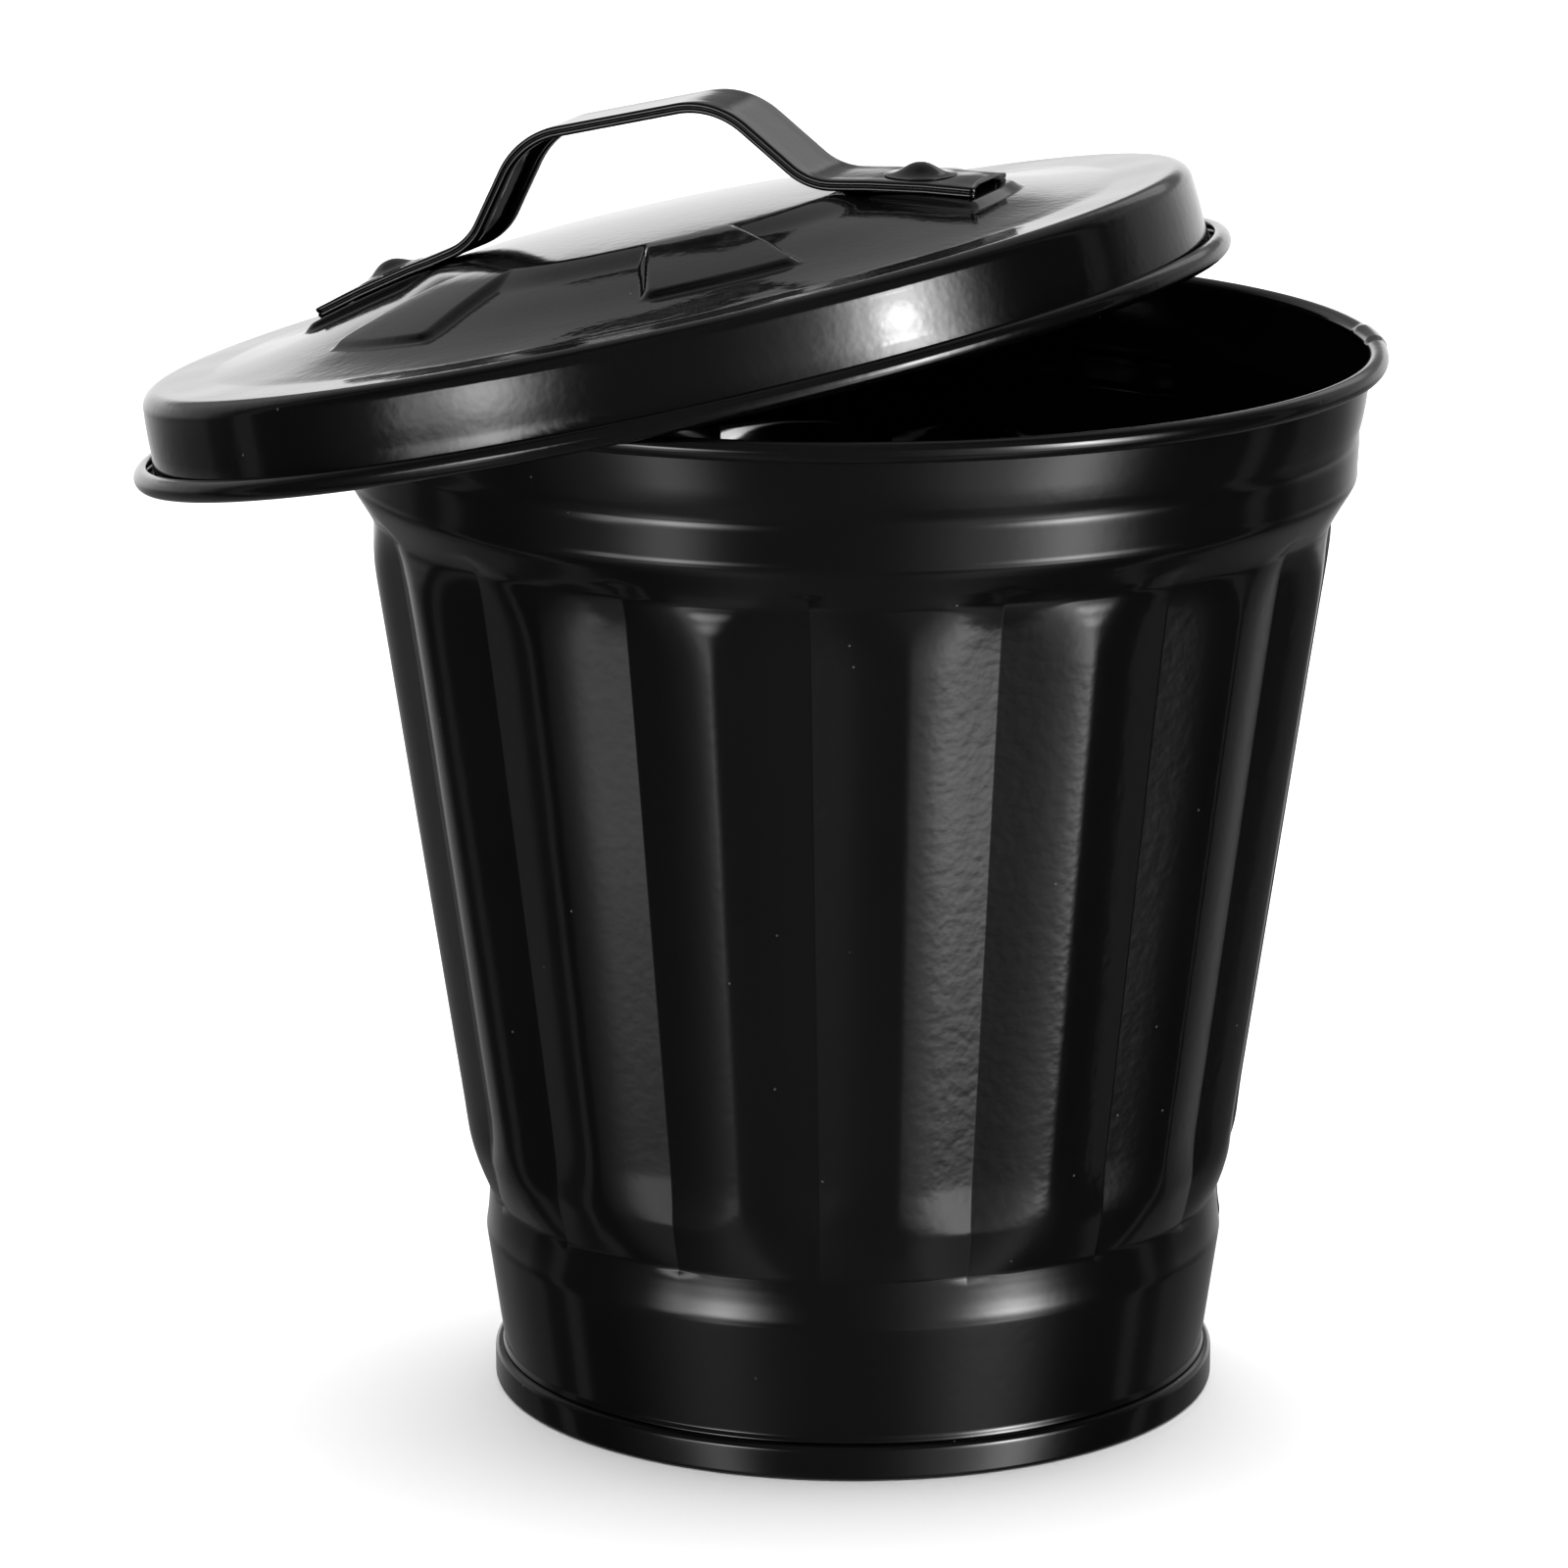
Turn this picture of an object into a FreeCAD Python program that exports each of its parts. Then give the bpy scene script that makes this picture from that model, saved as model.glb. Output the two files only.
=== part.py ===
import FreeCAD, Part
import os
import math
from FreeCAD import Vector, Placement, Rotation

# A small painted sheet-metal trash can for a desk: a conical fluted bin with a
# rolled rim and a double-seamed bottom, and a loose pressed lid with a strap
# handle.  Millimetres, +Z up, the origin on the bin's axis at the surface that
# it stands on.  The front faces -Y.  The lid is modelled as it lies on the bin:
# pushed aside and tilted, with its skirt hooked over the left of the rim.

# ---------------------------------------------------------------- dimensions
SHEET = 0.45            # bin wall and bottom, painted steel
LID_SHEET = 0.40        # lid sheet

# bin
RIM_R = 82.0            # outside radius of the rolled rim
RIM_TOP = 164.6         # top of the rolled rim
CURL_R = 1.6            # outside radius of the rim's rolled edge
CONE_R0 = 54.15         # radius of the wall's cone at z = 0
CONE_K = 0.150          # radius gained for each mm of height
WALL_BOTTOM = 0.45      # the wall's lower edge stands in the seam of the bottom
FLUTES = 16
FLUTE_FRONT = 6.25      # degrees from the front to the first ridge, to the right
FLUTE_DEPTH = 2.2       # valley below the cone, half way up
FLUTE_DEPTH_LOW = 1.95  # and near its lower end
FLUTE_DEPTH_HIGH = 2.5  # and near its upper end
FLUTE_DEPTH_END = 1.25  # where it turns in to the lower groove
RIDGE_HALF = 2.4        # half width of a ridge, degrees
FLUTE_TOP = 140.4
FLUTE_BOTTOM = 31.6
SEAM_AZ = 96.25         # side seam, degrees from the front to the right
SEAM_HALF = 2.7
SEAM_PROUD = 0.5

# seamed bottom
CHIME_R = 56.5
CHIME_TOP = 5.45
PAN_Z = 4.0             # underside of the bottom sheet

# lid, in its own frame: z = 0 is the middle of the rolled edge
LID_CURL_C = 84.95      # radius to the middle of the rolled edge
LID_CURL_R = 1.7        # outside radius of the rolled edge
LID_SKIRT_TOP = 82.75   # outside of the skirt at its top
LID_SKIRT_MID = 83.1    # outside of the skirt above its flare
LID_SKIRT_LOW = 83.65   # outside of the skirt at the rolled edge
LID_FLARE = 3.2         # height of the flare
LID_FLAT = 12.8         # height of the flat ring
LID_SHOULDER = 2.6
PANELS = 6
PANEL_AZ = -18.5        # azimuth of the first raised panel
PANEL_HALF = 12.0       # half width of a panel, degrees
PANEL_OUT = 57.0        # outer radius of a panel
HUB_R = 36.5            # raised middle
HUB_H = 8.9             # its height over the flat ring

# handle strap, in the lid's frame
STRAP_AZ = -20.0
STRAP_W = 15.0
STRAP_T = 0.7           # web
HEM_T = 1.7             # folded edge
HEM_W = 2.6
GRIP_Z = LID_FLAT + 26.0
RIVET_S = 45.0          # rivet, along the strap from the lid's axis
RIVET_HEAD_R = 5.6      # low head with a flared edge
RIVET_HEAD_H = 1.9
RIVET_SHANK_R = 1.5

# the lid as it lies
LID_X, LID_Y, LID_Z = -26.5, 8.0, 161.2
LID_TILT = 12.89
LID_TILT_DIR = 163.2    # direction that the lid leans to, from +X


# ------------------------------------------------------------------- helpers
def pchip(pts):
    """Shape-preserving cubic through points, as a function."""
    xs = [p[0] for p in pts]
    ys = [p[1] for p in pts]
    n = len(xs)
    h = [xs[i + 1] - xs[i] for i in range(n - 1)]
    d = [(ys[i + 1] - ys[i]) / h[i] for i in range(n - 1)]
    m = [0.0] * n
    m[0], m[-1] = d[0], d[-1]
    for i in range(1, n - 1):
        if d[i - 1] * d[i] > 0:
            w1 = 2 * h[i] + h[i - 1]
            w2 = h[i] + 2 * h[i - 1]
            m[i] = (w1 + w2) / (w1 / d[i - 1] + w2 / d[i])

    def f(x):
        if x <= xs[0]:
            return ys[0] + m[0] * (x - xs[0])
        if x >= xs[-1]:
            return ys[-1] + m[-1] * (x - xs[-1])
        i = 0
        while x > xs[i + 1]:
            i += 1
        t = (x - xs[i]) / h[i]
        return ((1 + 2 * t) * (1 - t) ** 2 * ys[i] + t * (1 - t) ** 2 * h[i] * m[i]
                + t * t * (3 - 2 * t) * ys[i + 1] + t * t * (t - 1) * h[i] * m[i + 1])
    return f


def cone(z):
    return CONE_R0 + CONE_K * z


# offset of the wall from its cone: lower band, groove, ridges, groove, bead, neck
WALL_OFF = pchip([
    (0.45, -0.02), (7.0, -0.05), (20.0, -0.10), (24.0, -0.12), (25.2, -0.25),
    (26.2, -0.48), (28.8, -1.12), (30.6, -1.55), (31.6, -1.70), (32.6, -1.45),
    (34.5, -0.92), (36.5, -0.45), (38.5, -0.12), (40.5, 0.05), (42.5, 0.10),
    (128.0, 0.10), (131.0, 0.02), (133.5, -0.22), (136.0, -0.66), (138.2, -1.0),
    (139.4, -0.68), (141.0, -0.02), (142.6, 0.72), (143.9, 1.30), (144.7, 1.50),
    (145.4, 1.50), (146.5, 1.40), (148.5, 1.18), (150.3, 0.96), (151.2, 0.88),
    (152.0, 0.90), (154.0, 0.98), (157.0, 1.02), (159.5, 0.97), (161.5, 0.86)])


def wall_r(z):
    if z > 161.5:
        return RIM_R - 2 * CURL_R + SHEET
    return cone(z) + WALL_OFF(z)


def revolve(pts):
    """Closed (r, z) outline turned about Z."""
    vs = [Vector(r, 0, z) for r, z in pts]
    vs.append(vs[0])
    return Part.Face(Part.makePolygon(vs)).revolve(Vector(0, 0, 0), Vector(0, 0, 1), 360)


def sector(pts, az0, az1):
    """Closed (r, z) outline turned from az0 to az1, degrees from +X."""
    vs = [Vector(r, 0, z) for r, z in pts]
    vs.append(vs[0])
    f = Part.Face(Part.makePolygon(vs))
    f.rotate(Vector(0, 0, 0), Vector(0, 0, 1), az0)
    return f.revolve(Vector(0, 0, 0), Vector(0, 0, 1), az1 - az0)


def arc_pts(rc, zc, rad, a0, a1, n):
    return [(rc + rad * math.cos(math.radians(a0 + (a1 - a0) * i / n)),
             zc + rad * math.sin(math.radians(a0 + (a1 - a0) * i / n))) for i in range(n + 1)]


def one_solid(shape, name):
    s = shape.removeSplitter()
    sol = s.Solids
    if len(sol) != 1:
        sol = sorted(sol, key=lambda q: -q.Volume)
        print("note", name, "has", len(sol), "solids", [round(q.Volume, 3) for q in sol])
    return sol[0]


# ------------------------------------------------------------------ bin wall
ZS = ([WALL_BOTTOM, 7.0, 14.0, 20.0, 24.0, 25.2, 26.2, 28.8, 30.6, 31.6, 32.6, 34.5, 36.5, 38.5, 40.5, 42.5]
      + [60.0, 90.0, 128.0, 131.0, 133.5, 136.0, 138.2, 139.4, 141.0, 142.6, 143.9, 144.7, 145.4,
         146.5, 148.5, 150.3, 151.2, 152.0, 154.0, 157.0, 159.5, 161.5, RIM_TOP - CURL_R])


def fluted(off):
    """Solid of revolution less the valleys between the ridges."""
    outline = [(0.0, ZS[0])] + [(wall_r(z) + off, z) for z in ZS] + [(0.0, ZS[-1])]
    body = revolve(outline)
    # the valley line, straight along the cone with a ramp at each end
    line = [(FLUTE_BOTTOM, wall_r(FLUTE_BOTTOM)), (38.8, cone(38.8) - FLUTE_DEPTH_END),
            (47.0, cone(47.0) - FLUTE_DEPTH_LOW), (122.0, cone(122.0) - FLUTE_DEPTH_HIGH), (134.5, cone(134.5) - FLUTE_DEPTH_HIGH + 0.1),
            (138.2, cone(138.2) - FLUTE_DEPTH_LOW), (FLUTE_TOP, wall_r(FLUTE_TOP))]
    zm = 84.0
    a = math.radians(180.0 / FLUTES - RIDGE_HALF)
    rise = (cone(zm) + 0.1) * math.cos(a) - (cone(zm) - FLUTE_DEPTH)
    run = (cone(zm) + 0.1) * math.sin(a)
    k = 1.6
    tools = []
    for i in range(FLUTES):
        az = FLUTE_FRONT + 180.0 / FLUTES + i * 360.0 / FLUTES - 90.0
        wires = []
        for z, r in line:
            p = [Vector(r + off, 0, z), Vector(r + off + k * rise, k * run, z),
                 Vector(r + off + k * rise + 12, 0, z), Vector(r + off + k * rise, -k * run, z)]
            wires.append(Part.makePolygon(p + [p[0]]))
        t = Part.makeLoft(wires, True, True)
        t.rotate(Vector(0, 0, 0), Vector(0, 0, 1), az)
        tools.append(t)
    return body.cut(tools)


outer = fluted(0.0)
inner = fluted(-SHEET)
wall = outer.cut(inner)

# rolled rim: the edge turns out, over and back under
cr, cz = RIM_R - CURL_R, RIM_TOP - CURL_R
band = arc_pts(cr, cz, CURL_R, 180, -125, 20) + arc_pts(cr, cz, CURL_R - SHEET, -125, 180, 20)
wall = wall.fuse(revolve(band))

# side seam: a narrow lapped strip up the wall and a double layer in the rim
seam_a = SEAM_AZ - 90.0
zs = [z for z in ZS if 7.0 <= z <= 161.5]
strip = [(wall_r(z) - 0.25, z) for z in zs] + [(wall_r(z) + SEAM_PROUD, z) for z in reversed(zs)]
lap = arc_pts(cr, cz, CURL_R + 0.3, 165, -100, 16) + arc_pts(cr, cz, CURL_R - 0.2, -100, 165, 16)
wall = wall.fuse([sector(strip, seam_a - SEAM_HALF, seam_a + SEAM_HALF),
                  sector(lap, seam_a - 4.2, seam_a + 4.2)])
body_shell = one_solid(wall, "body_shell")

# ----------------------------------------------------------------- bin bottom
# a dished sheet whose edge is folded round the foot of the wall
t = SHEET
foot = wall_r(WALL_BOTTOM)
pan = ([(0.0, PAN_Z), (20.0, PAN_Z), (21.5, PAN_Z + 0.9), (44.0, PAN_Z + 0.9), (45.5, PAN_Z),
        (51.6, PAN_Z), (52.5, PAN_Z - 0.3), (52.9, PAN_Z - 1.0), (53.1, 0.6), (53.35, 0.15), (53.8, 0.0)]
       + [(55.75, 0.0)] + arc_pts(CHIME_R - 0.75, 0.75, 0.75, -75, 0, 5)
       + arc_pts(CHIME_R - 1.05, CHIME_TOP - 1.05, 1.05, 0, 90, 6)
       + [(55.22, CHIME_TOP - 0.08), (55.06, CHIME_TOP - 0.35), (55.20, CHIME_TOP - 0.62)]
       + arc_pts(CHIME_R - 1.05, CHIME_TOP - 1.05, 1.05 - t, 90, 0, 4)
       + arc_pts(CHIME_R - 0.75, 0.75, 0.75 - t + 0.02, 0, -80, 3)
       + [(55.70, WALL_BOTTOM), (53.70, WALL_BOTTOM), (53.52, 0.75), (53.34, PAN_Z - 0.9), (52.95, PAN_Z + 0.1),
          (52.1, PAN_Z + t), (45.7, PAN_Z + t), (44.2, PAN_Z + 0.9 + t), (21.3, PAN_Z + 0.9 + t),
          (19.8, PAN_Z + t), (0.0, PAN_Z + t)])
base_pan = one_solid(revolve(pan), "base_pan")

# ------------------------------------------------------------------------ lid
LID_BASE = pchip([(0.0, LID_FLAT + 7.6), (10.0, LID_FLAT + 7.55), (20.0, LID_FLAT + 7.3),
                  (29.0, LID_FLAT + 6.95), (36.5, LID_FLAT + 6.35), (40.0, LID_FLAT + 5.85),
                  (45.0, LID_FLAT + 4.85), (54.0, LID_FLAT + 2.8), (57.0, LID_FLAT + 2.18),
                  (60.0, LID_FLAT + 1.62), (63.0, LID_FLAT + 1.1), (66.0, LID_FLAT + 0.66),
                  (68.5, LID_FLAT + 0.34), (70.3, LID_FLAT + 0.12), (71.4, LID_FLAT + 0.02),
                  (72.5, LID_FLAT), (79.75, LID_FLAT)])


def panel_z(r):
    return LID_FLAT + 11.2 - 0.00247 * r * r


def top_z(r):
    """Panels, and the nearly flat hub inside them."""
    return min(panel_z(r), LID_FLAT + HUB_H - 0.0007 * r * r)


RS = [0.0, 5.0, 10.0, 15.0, 20.0, 25.0, 29.0, 33.0, 36.0, 40.0, 45.0, 50.0, 54.0, 57.0, 59.5, 63.0, 66.0, 68.5, 70.3, 71.4, 72.5, 75.0]


def lid_solid(d, depth):
    """Everything under the lid's upper (d = 0) or lower (d = sheet) surface."""
    ri = LID_SKIRT_TOP - LID_SHOULDER
    out = [(r, LID_BASE(r) - d) for r in RS] + arc_pts(ri, LID_FLAT - LID_SHOULDER, LID_SHOULDER - d, 90, 0, 10)
    out += [(LID_SKIRT_MID - d, LID_FLARE), (LID_SKIRT_LOW - d, 0.0)]
    if depth:
        out += [(LID_SKIRT_LOW - d, -depth)]
        out += [(0.0, -depth)]
    else:
        out += [(0.0, 0.0)]
    body = revolve(out)
    rp = [q for q in RS if q <= PANEL_OUT + 2.5]
    top = revolve([(0.0, 2.0)] + [(q, top_z(q) - d) for q in rp] + [(rp[-1], 2.0)])
    tools = []
    o, s = PANEL_OUT - d, 0.9
    for i in range(PANELS):
        w = []
        for z, g in ((LID_FLAT - 2.0, 2.2), (LID_FLAT + 13.0, -1.6)):
            # the panel's sides and outer edge lean in towards its top
            h = math.radians(PANEL_HALF)
            e = g - d
            p = [Vector(6.0, 0, z)]
            p.append(Vector(6.0, 6.0 * math.tan(h) + e / math.cos(h) + 0.5, z))
            ro = PANEL_OUT + e
            p.append(Vector(ro * math.cos(h), ro * math.sin(h) + e * s, z))
            p.append(Vector(ro, 0, z))
            p.append(Vector(ro * math.cos(h), -ro * math.sin(h) - e * s, z))
            p.append(Vector(6.0, -6.0 * math.tan(h) - e / math.cos(h) - 0.5, z))
            w.append(Part.makePolygon(p + [p[0]]))
        q = Part.makeLoft(w, True, True)
        q.rotate(Vector(0, 0, 0), Vector(0, 0, 1), PANEL_AZ + i * 360.0 / PANELS)
        tools.append(q)
    hub = Part.makeCone(HUB_R + 2.2 - d, HUB_R - 1.6 - d, 15.0, Vector(0, 0, LID_FLAT - 2.0))
    star = tools[0].fuse(tools[1:] + [hub])
    return body.fuse(top.common(star))


lid = lid_solid(0.0, 0.0).cut(lid_solid(LID_SHEET, 3.0))
# open rolled edge: the skirt turns out and up
curl = (arc_pts(LID_CURL_C, 0.0, LID_CURL_R, 180, 470, 24)
        + arc_pts(LID_CURL_C, 0.0, LID_CURL_R - LID_SHEET, 470, 180, 24))
lid = lid.fuse(revolve(curl))

# --------------------------------------------------------------- handle strap
# top line of the strap, from the lid's axis out: grip, leg, foot
GRIP_BEND, LEG_OUT = 17.6, 29.9          # the right leg
GRIP_BEND_L, LEG_OUT_L = 16.0, 28.2      # the left leg stands a little further in


def foot_z(s):
    return panel_z(s) + 0.15 + HEM_T


TOP_LINE = [(-55.8, LID_FLAT + 5.35), (-48.0, foot_z(48.0) + 0.05), (-39.0, foot_z(39.0) + 0.10), (-LEG_OUT_L, foot_z(LEG_OUT_L) + 0.12),
            (-GRIP_BEND_L, GRIP_Z), (GRIP_BEND, GRIP_Z),
            (LEG_OUT, foot_z(LEG_OUT) + 0.12), (39.0, foot_z(39.0) + 0.10), (48.0, foot_z(48.0) + 0.05), (55.8, LID_FLAT + 5.35)]
BEND = [0, 30.0, 30.0, 9.0, 14.0, 14.0, 9.0, 30.0, 30.0, 0]


def path(pts, radii, d):
    """Lines and arcs along the points, d below the line, as points."""
    out = []
    n = len(pts)
    for i, (x, z) in enumerate(pts):
        if i == 0 or i == n - 1:
            q = pts[1] if i == 0 else pts[-2]
            ux, uz = (q[0] - x, q[1] - z) if i == 0 else (x - q[0], z - q[1])
            L = math.hypot(ux, uz)
            out.append((x + d * uz / L, z - d * ux / L))
            continue
        (x0, z0), (x1, z1) = pts[i - 1], pts[i + 1]
        a0 = math.atan2(z - z0, x - x0)
        a1 = math.atan2(z1 - z, x1 - x)
        turn = a1 - a0
        R = radii[i]
        sgn = 1.0 if turn > 0 else -1.0
        tl = R * math.tan(abs(turn) / 2)
        sx, sz = x - tl * math.cos(a0), z - tl * math.sin(a0)
        cx, cz_ = sx - sgn * R * math.sin(a0), sz + sgn * R * math.cos(a0)
        m = max(2, int(abs(math.degrees(turn)) / 7) + 1)
        for k in range(m + 1):
            a = a0 + turn * k / m
            rr = R + sgn * d
            out.append((cx + sgn * rr * math.sin(a), cz_ - sgn * rr * math.cos(a)))
    return out


def strap_slab(th, y0, y1):
    top = path(TOP_LINE, BEND, 0.0)
    low = path(TOP_LINE, BEND, th)
    vs = [Vector(x, y0, z) for x, z in top + low[::-1]]
    vs.append(vs[0])
    return Part.Face(Part.makePolygon(vs)).extrude(Vector(0, y1 - y0, 0))


strap = strap_slab(STRAP_T, -STRAP_W / 2, STRAP_W / 2)
strap = strap.fuse([strap_slab(HEM_T, -STRAP_W / 2, -STRAP_W / 2 + HEM_W),
                    strap_slab(HEM_T, STRAP_W / 2 - HEM_W, STRAP_W / 2)])

# rivets through the strap's feet, square to the foot
x0, z0 = TOP_LINE[7]
x1, z1 = TOP_LINE[8]
slope = math.atan2(z1 - z0, x1 - x0)
zr = z0 + (z1 - z0) * (RIVET_S - x0) / (x1 - x0)
gap = (zr - panel_z(RIVET_S)) + 0.12
rivets = []
for side in (1, -1):
    head = [(0.0, RIVET_HEAD_H), (0.8, 1.85), (1.6, 1.68), (2.4, 1.36), (3.2, 0.92), (4.0, 0.50), (4.8, 0.22), (RIVET_HEAD_R, 0.10)]
    outline = ([(0.0, -gap - LID_SHEET - 1.1)] + [(2.3, -gap - LID_SHEET - 1.0), (2.5, -gap - LID_SHEET - 0.5), (2.4, -gap - LID_SHEET - 0.1)]
               + [(RIVET_SHANK_R, -gap - LID_SHEET - 0.1), (RIVET_SHANK_R, 0.0), (RIVET_HEAD_R, 0.0)]
               + head[::-1])
    r = revolve(outline)
    hole = Part.makeCylinder(RIVET_SHANK_R + 0.1, 12.0)
    pl = Placement(Vector(side * RIVET_S, 0, zr), Rotation(Vector(0, 1, 0), -side * math.degrees(slope)))
    r.Placement = pl
    hole.Placement = pl.multiply(Placement(Vector(0, 0, -8.0), Rotation()))
    hole2 = hole.copy()
    strap = strap.cut(hole)
    hole2.rotate(Vector(0, 0, 0), Vector(0, 0, 1), STRAP_AZ)
    lid = lid.cut(hole2)
    rivets.append(r)

turn = Placement(Vector(0, 0, 0), Rotation(Vector(0, 0, 1), STRAP_AZ))
a = math.radians(LID_TILT_DIR)
lie = Placement(Vector(LID_X, LID_Y, LID_Z), Rotation(Vector(-math.sin(a), math.cos(a), 0), LID_TILT))


def placed(shape, pl):
    return shape.transformed(pl.toMatrix(), True)


lid_shell = placed(one_solid(lid, "lid_shell"), lie)
handle_strap = placed(one_solid(strap, "handle_strap"), lie.multiply(turn))
handle_rivets = Part.makeCompound([placed(Part.Solid(r) if r.ShapeType == "Shell" else r, lie.multiply(turn)) for r in rivets])

# ---------------------------------------------------------------------- write
os.makedirs("parts", exist_ok=True)
for name, shape in (("body_shell", body_shell), ("base_pan", base_pan), ("lid_shell", lid_shell),
                    ("handle_strap", handle_strap), ("handle_rivets", handle_rivets)):
    shape.exportStep("parts/%s.step" % name)
    b = shape.BoundBox
    print(name, "valid", shape.isValid(), "solids", len(shape.Solids), "faces", len(shape.Faces), "cm3 %.2f" % (shape.Volume / 1000),
          "box %.2f %.2f %.2f  %.2f %.2f %.2f" % (b.XMin, b.YMin, b.ZMin, b.XMax, b.YMax, b.ZMax))
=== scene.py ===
import math

import bpy
import numpy as np
from mathutils import Matrix


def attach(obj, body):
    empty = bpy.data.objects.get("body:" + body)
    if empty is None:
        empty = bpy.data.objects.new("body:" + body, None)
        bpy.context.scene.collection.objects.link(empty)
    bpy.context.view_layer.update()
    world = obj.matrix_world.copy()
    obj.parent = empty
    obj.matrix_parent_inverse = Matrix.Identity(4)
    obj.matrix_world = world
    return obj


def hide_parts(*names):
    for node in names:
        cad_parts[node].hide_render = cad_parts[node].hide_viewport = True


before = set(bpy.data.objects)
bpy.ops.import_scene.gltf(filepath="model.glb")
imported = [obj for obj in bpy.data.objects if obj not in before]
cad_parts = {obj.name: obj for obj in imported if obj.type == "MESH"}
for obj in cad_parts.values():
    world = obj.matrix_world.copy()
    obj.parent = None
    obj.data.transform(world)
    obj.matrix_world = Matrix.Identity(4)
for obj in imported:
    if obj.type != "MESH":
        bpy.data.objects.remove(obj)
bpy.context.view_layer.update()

MM = 0.001

# ---------------------------------------------------------------- dimensions
# the same numbers as the CAD model, in millimetres
SHEET, LID_SHEET = 0.45, 0.40
RIM_R, RIM_TOP, CURL_R = 82.0, 164.6, 1.6
CONE_R0, CONE_K = 54.15, 0.150
FLUTES, FLUTE_FRONT = 16, 6.25
FLUTE_TOP, FLUTE_BOTTOM = 140.4, 31.6
FACET_TILT = 8.4
SEAM_AZ, SEAM_HALF = 96.25, 2.7
CHIME_R, CHIME_TOP, PAN_Z = 56.5, 5.45, 4.0
LID_CURL_C, LID_CURL_R = 84.93, 1.7
LID_SKIRT_TOP, LID_SKIRT_MID, LID_SKIRT_LOW, LID_FLARE = 82.75, 83.1, 83.65, 3.2
LID_FLAT, LID_SHOULDER = 12.8, 2.6
PANELS, PANEL_AZ, PANEL_HALF, PANEL_OUT, HUB_R, HUB_H = 6, -18.5, 12.0, 57.0, 36.5, 8.9
STRAP_AZ, STRAP_W, STRAP_T, HEM_T, HEM_W = -20.0, 15.0, 0.7, 1.7, 2.6
GRIP_Z = LID_FLAT + 26.0
GRIP_BEND, LEG_OUT = 17.6, 29.9
GRIP_BEND_L, LEG_OUT_L = 16.0, 28.2
RIVET_S, RIVET_HEAD_R, RIVET_HEAD_H = 45.0, 5.6, 1.9
LID_POS = (-26.5, 8.0, 161.2)
LID_TILT, LID_TILT_DIR = 12.89, 163.2


# ------------------------------------------------------------------- helpers
def pchip(pts):
    """Shape-preserving cubic through points, on arrays."""
    xs = np.array([p[0] for p in pts], float)
    ys = np.array([p[1] for p in pts], float)
    h = np.diff(xs)
    d = np.diff(ys) / h
    m = np.zeros(len(xs))
    m[0], m[-1] = d[0], d[-1]
    for i in range(1, len(xs) - 1):
        if d[i - 1] * d[i] > 0:
            w1, w2 = 2 * h[i] + h[i - 1], h[i] + 2 * h[i - 1]
            m[i] = (w1 + w2) / (w1 / d[i - 1] + w2 / d[i])

    def f(x):
        x = np.asarray(x, float)
        i = np.clip(np.searchsorted(xs, x, side="right") - 1, 0, len(xs) - 2)
        t = np.clip((x - xs[i]) / h[i], 0, 1)
        return ((1 + 2 * t) * (1 - t) ** 2 * ys[i] + t * (1 - t) ** 2 * h[i] * m[i]
                + t * t * (3 - 2 * t) * ys[i + 1] + t * t * (t - 1) * h[i] * m[i + 1])
    return f


def smin(a, b, k):
    h = np.clip(0.5 + 0.5 * (b - a) / k, 0, 1)
    return b * (1 - h) + a * h - k * h * (1 - h)


def smax(a, b, k):
    return -smin(-a, -b, k)


def step(x, lo, hi):
    t = np.clip((x - lo) / (hi - lo), 0, 1)
    return t * t * (3 - 2 * t)


def cone(z):
    return CONE_R0 + CONE_K * z


def arc(rc, zc, rad, a0, a1, n):
    a = np.radians(np.linspace(a0, a1, n))
    return np.stack([rc + rad * np.cos(a), zc + rad * np.sin(a)], -1)


def make_mesh(name, V, faces):
    me = bpy.data.meshes.new(name)
    me.from_pydata((np.asarray(V) * MM).tolist(), [], faces)
    me.polygons.foreach_set("use_smooth", np.ones(len(me.polygons), bool))
    me.validate()
    me.update()
    ob = bpy.data.objects.new(name, me)
    bpy.context.scene.collection.objects.link(ob)
    return ob


def grid_faces(rows, cols, close_rows, start=0, flip=False):
    """Quads of a grid whose columns close on themselves."""
    i = np.arange(rows if close_rows else rows - 1)
    j = np.arange(cols)
    I, J = np.meshgrid(i, j, indexing="ij")
    I2, J2 = (I + 1) % rows, (J + 1) % cols
    q = np.stack([I * cols + J, I * cols + J2, I2 * cols + J2, I2 * cols + J], -1).reshape(-1, 4) + start
    return (q[:, ::-1] if flip else q).tolist()


# ------------------------------------------------------------------ bin wall
WALL_OFF = pchip([
    (0.45, -0.02), (7.0, -0.05), (20.0, -0.10), (24.2, -0.12), (25.0, -0.24),
    (26.2, -0.58), (27.5, -0.93), (28.8, -1.22), (30.2, -1.50), (31.6, -1.70), (32.6, -1.45),
    (34.5, -0.92), (36.5, -0.45), (38.5, -0.12), (40.5, 0.05), (42.5, 0.10),
    (128.0, 0.10), (131.0, 0.02), (133.5, -0.22), (136.0, -0.66), (138.2, -1.0),
    (139.4, -0.68), (141.0, -0.02), (142.6, 0.72), (143.9, 1.30), (144.7, 1.55),
    (145.2, 1.56), (145.9, 1.42), (146.8, 1.34), (148.5, 1.18), (150.3, 1.02), (151.0, 0.92), (151.7, 0.76),
    (152.5, 0.78), (154.0, 0.93), (157.0, 1.02), (159.5, 0.97), (161.5, 0.86)])


def plain_r(z):
    return np.where(z > 161.5, RIM_R - 2 * CURL_R + SHEET, cone(z) + WALL_OFF(z))


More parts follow.
